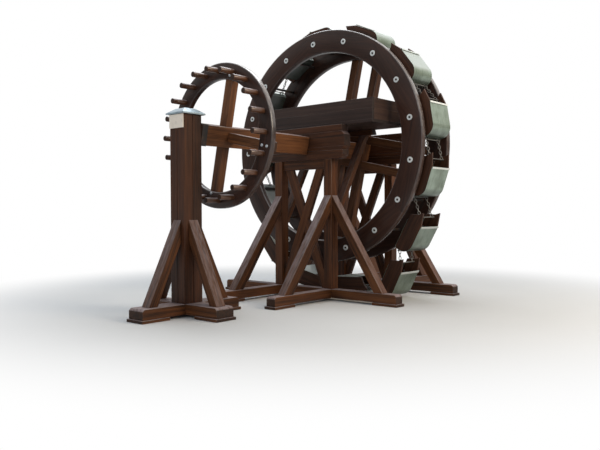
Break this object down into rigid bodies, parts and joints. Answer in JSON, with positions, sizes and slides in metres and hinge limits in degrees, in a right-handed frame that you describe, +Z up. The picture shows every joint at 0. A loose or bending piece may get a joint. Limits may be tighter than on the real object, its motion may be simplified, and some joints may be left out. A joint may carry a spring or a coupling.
{
  "type": "animal driven water wheel",
  "caption": "Timber water wheel with a square shaft on two trestles and a post, a peg wheel, and a double ring wheel carrying a chain of sheet metal buckets over a box trough.",
  "frame": {"origin": "on the ground, below the shaft line, at the middle of the length", "axes": "+Z up, +Y along the shaft from the outer post to the far trestle, +X to the side on which the trough reaches further"},
  "size_m": [4.1033, 6.509, 4.5509],
  "materials": {
    "stained_timber": "satin",
    "bearing_timber": "satin",
    "trough_timber": "satin",
    "wheel_timber": "satin",
    "peg_timber": "satin",
    "galvanised_sheet": "satin",
    "galvanised_iron": "satin",
    "cap_metal": "satin",
    "plate": "matte",
    "dark_iron": "matte"
  },
  "bodies": {
    "frame": {"post_long_sill": "stained_timber", "post_cross_sill": "stained_timber", "post_pads": "stained_timber", "post": "stained_timber", "post_struts": "stained_timber", "post_cap": "cap_metal", "post_plate": "plate", "trestle_cross_sills": "stained_timber", "trestle_long_sills": "stained_timber", "trestle_pads": "stained_timber", "trestle_posts": "stained_timber", "head_rails": "stained_timber", "rising_braces": "stained_timber", "falling_braces": "stained_timber", "length_struts": "stained_timber", "side_struts": "stained_timber", "bolsters": "bearing_timber", "bearing_boards": "bearing_timber", "journal_blocks": "bearing_timber", "cap_timbers": "bearing_timber", "trough_floor": "trough_timber", "trough_sides": "trough_timber", "trough_ends": "trough_timber", "trough_bearer": "bearing_timber", "knee_braces": "stained_timber", "bucket_boards": "stained_timber", "bucket_sheets": "galvanised_sheet", "bucket_chain": "galvanised_iron"},
    "wheelwork": {"shaft": "stained_timber", "shaft_band": "dark_iron", "peg_rim": "wheel_timber", "peg_spokes": "wheel_timber", "pegs": "peg_timber", "peg_bolts": "galvanised_iron", "front_ring": "wheel_timber", "back_ring": "wheel_timber", "cross_pins": "dark_iron", "pin_washers": "galvanised_sheet", "pin_ends": "dark_iron", "upright_arms": "wheel_timber", "level_arms": "wheel_timber", "arm_wedges": "peg_timber"}
  },
  "joints": [
    {"name": "shaft_turn", "type": "hinge", "parent": "frame", "child": "wheelwork", "pos_m": [0, 0.9725, 2.5], "axis": [0, 1, 0], "continuous": true}
  ]
}
